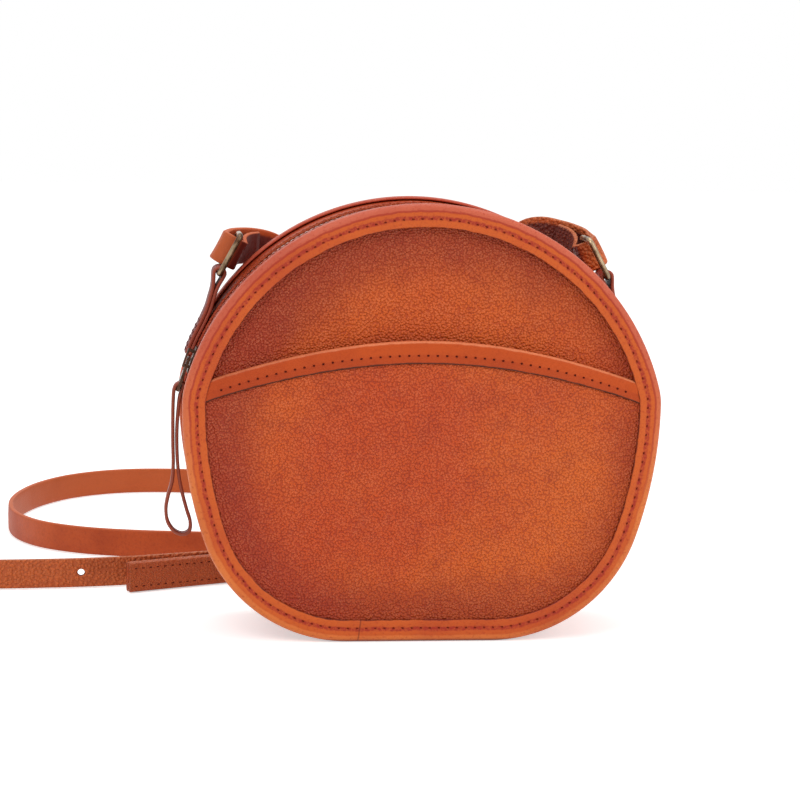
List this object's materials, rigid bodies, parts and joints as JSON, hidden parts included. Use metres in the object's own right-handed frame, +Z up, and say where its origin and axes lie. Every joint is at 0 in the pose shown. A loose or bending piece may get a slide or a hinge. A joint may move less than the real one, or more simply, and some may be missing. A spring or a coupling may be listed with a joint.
{
  "type": "circle bag",
  "caption": "Round zip-top shoulder bag in pebbled leather with a curved front slip pocket, bound edges, wire rings and a buckled strap.",
  "frame": {"origin": "middle of the flat base, midway between the front and back bindings, at the height of the surface that the bag stands on", "axes": "+X to the right as seen from the pocket side, +Y from the pocket side to the back, +Z up"},
  "size_m": [0.3095, 0.3763, 0.1914],
  "materials": {
    "panel_leather": "soft pebbled tan leather, burnished darker towards its edges",
    "trim_leather": "smooth tan strip leather with stitched, burnished edges",
    "strap_leather": "smooth tan strap leather",
    "thong_leather": "thin dark red-brown leather lace",
    "zip_tape": "woven brown zip tape",
    "zip_teeth": "bright nickel-plated zip teeth",
    "slider_metal": "dark antique plated zip slider",
    "antique_brass": "dark antique brass wire"
  },
  "bodies": {
    "bag": {"front_panel": "panel_leather", "pocket_panel": "panel_leather", "pocket_band": "trim_leather", "front_binding": "trim_leather", "back_panel": "panel_leather", "back_binding": "trim_leather", "lower_gusset": "panel_leather", "zip_gusset_front": "panel_leather", "zip_gusset_back": "panel_leather", "zip_tape_front": "zip_tape", "zip_tape_back": "zip_tape", "zip_teeth_front": "zip_teeth", "zip_teeth_back": "zip_teeth", "zip_stops": "zip_teeth", "ring_tab_left": "trim_leather", "ring_tab_right": "trim_leather", "strap_short": "strap_leather", "strap_backing": "strap_leather", "strap_long": "panel_leather", "strap_keeper": "trim_leather", "buckle_frame": "antique_brass"},
    "slider": {"zip_slider": "slider_metal"},
    "puller": {"zip_puller": "slider_metal", "zip_thong": "thong_leather"},
    "left_ring": {"ring_left": "antique_brass"},
    "right_ring": {"ring_right": "antique_brass"},
    "prong": {"buckle_prong": "antique_brass"}
  },
  "joints": [
    {"name": "zip_travel", "type": "hinge", "parent": "bag", "child": "slider", "pos_m": [0, 0, 0.08437], "axis": [0, 1, 0], "range_deg": [0, 140.5]},
    {"name": "puller_swing", "type": "hinge", "parent": "slider", "child": "puller", "pos_m": [-0.10084, 0, 0.12054], "axis": [0, 1, 0], "range_deg": [0, 165]},
    {"name": "left_ring_swing", "type": "hinge", "parent": "bag", "child": "left_ring", "pos_m": [-0.0873, 0.0177, 0.15711], "axis": [0, 1, 0], "range_deg": [-6, 6]},
    {"name": "right_ring_swing", "type": "hinge", "parent": "bag", "child": "right_ring", "pos_m": [0.0873, 0.0177, 0.15711], "axis": [0, 1, 0], "range_deg": [-6, 6]},
    {"name": "prong_swing", "type": "hinge", "parent": "bag", "child": "prong", "pos_m": [0.018, 0.115, 0.011], "axis": [0, 0, 1], "range_deg": [-100, 0]}
  ]
}
